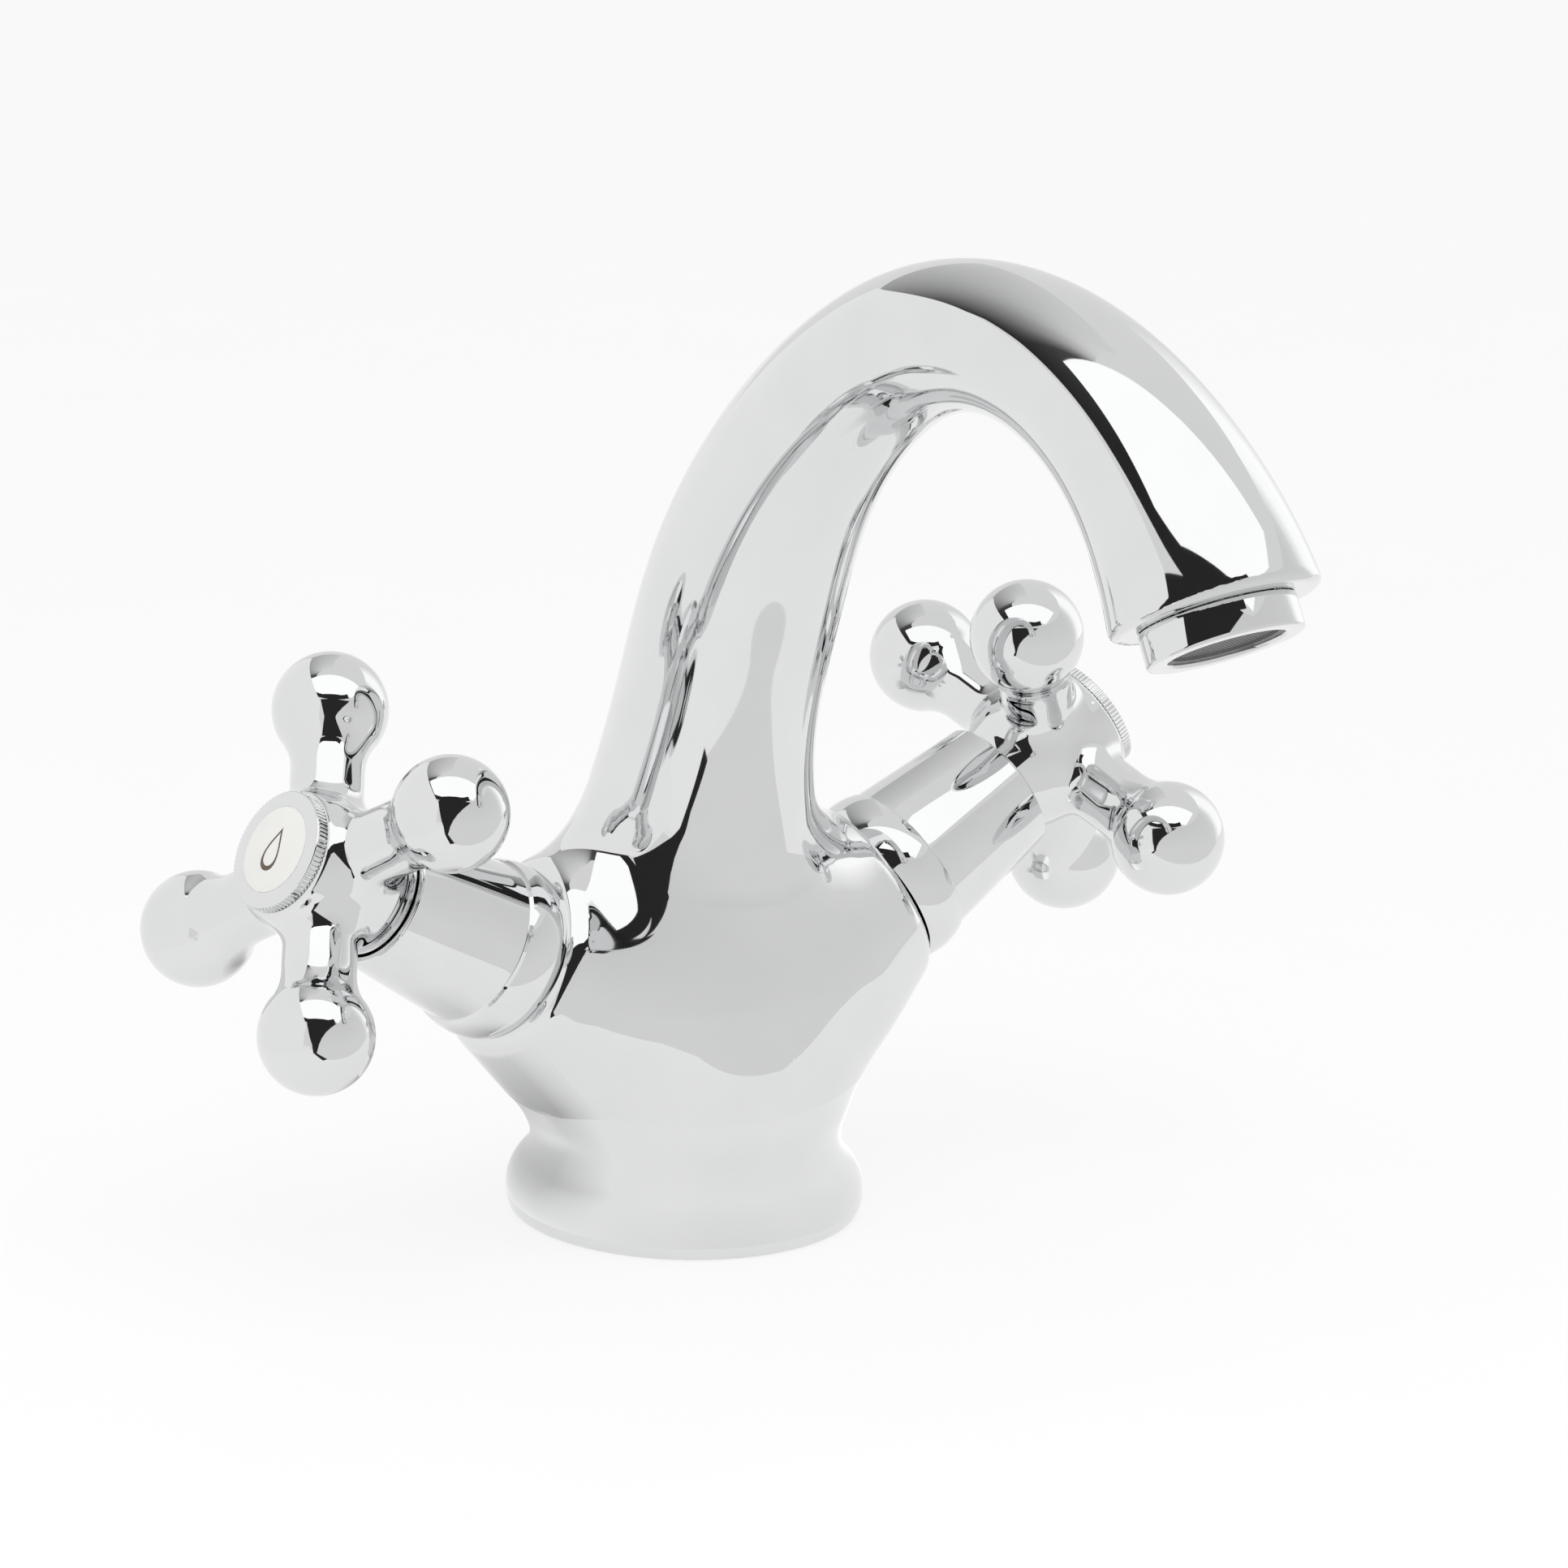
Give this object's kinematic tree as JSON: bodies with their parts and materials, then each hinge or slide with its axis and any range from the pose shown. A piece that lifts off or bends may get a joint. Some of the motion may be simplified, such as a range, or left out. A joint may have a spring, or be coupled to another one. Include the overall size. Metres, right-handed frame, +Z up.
{
  "type": "two-handle basin tap",
  "caption": "Chromed basin tap with an arched spout cast in one with its body, ball-ended cross handles on slanted quarter-turn valves, and an aerator at the outlet.",
  "frame": {"origin": "middle of the foot, on the plane of the deck", "axes": "+Z up, spout towards -Y, hot handle towards -X, cold handle towards +X"},
  "size_m": [0.1647, 0.1644, 0.1554],
  "materials": {
    "chrome_casting": "bright chrome plate on polished cast brass",
    "chrome_turned": "bright chrome plate on turned brass",
    "bare_brass": "machined brass",
    "seal_rubber": "moulded black rubber",
    "aerator_plastic": "moulded grey plastic",
    "slide_plastic": "white low-friction plastic",
    "steel_screen": "stainless steel",
    "valve_ceramic": "lapped alumina",
    "index_enamel": "glossy cream plastic"
  },
  "bodies": {
    "tap": {"aerator_housing": "chrome_turned", "aerator_insert": "aerator_plastic", "aerator_screen": "steel_screen", "aerator_seal": "seal_rubber", "base_gasket": "seal_rubber", "bonnet_seal_cold": "seal_rubber", "bonnet_seal_hot": "seal_rubber", "fixed_disc_cold": "valve_ceramic", "fixed_disc_hot": "valve_ceramic", "seat_seal_cold": "seal_rubber", "seat_seal_hot": "seal_rubber", "tap_body": "chrome_casting", "valve_bonnet_cold": "bare_brass", "valve_bonnet_hot": "bare_brass", "valve_cover_cold": "chrome_turned", "valve_cover_hot": "chrome_turned"},
    "hot_handle": {"cross_handle_hot": "chrome_casting", "handle_screw_hot": "steel_screen", "index_disc_hot": "index_enamel", "index_ring_hot": "chrome_turned", "moving_disc_hot": "valve_ceramic", "slide_washer_hot": "slide_plastic", "spindle_clip_hot": "steel_screen", "spindle_hot": "bare_brass", "spindle_rings_hot": "seal_rubber"},
    "cold_handle": {"cross_handle_cold": "chrome_casting", "handle_screw_cold": "steel_screen", "index_disc_cold": "index_enamel", "index_ring_cold": "chrome_turned", "moving_disc_cold": "valve_ceramic", "slide_washer_cold": "slide_plastic", "spindle_clip_cold": "steel_screen", "spindle_cold": "bare_brass", "spindle_rings_cold": "seal_rubber"}
  },
  "joints": [
    {"name": "hot_turn", "type": "hinge", "parent": "tap", "child": "hot_handle", "pos_m": [-0.06302, 0, 0.06022], "axis": [-0.8729, 0, 0.4879], "range_deg": [0, 90]},
    {"name": "cold_turn", "type": "hinge", "parent": "tap", "child": "cold_handle", "pos_m": [0.06302, 0, 0.06022], "axis": [0.8729, 0, 0.4879], "range_deg": [-90, 0]}
  ]
}
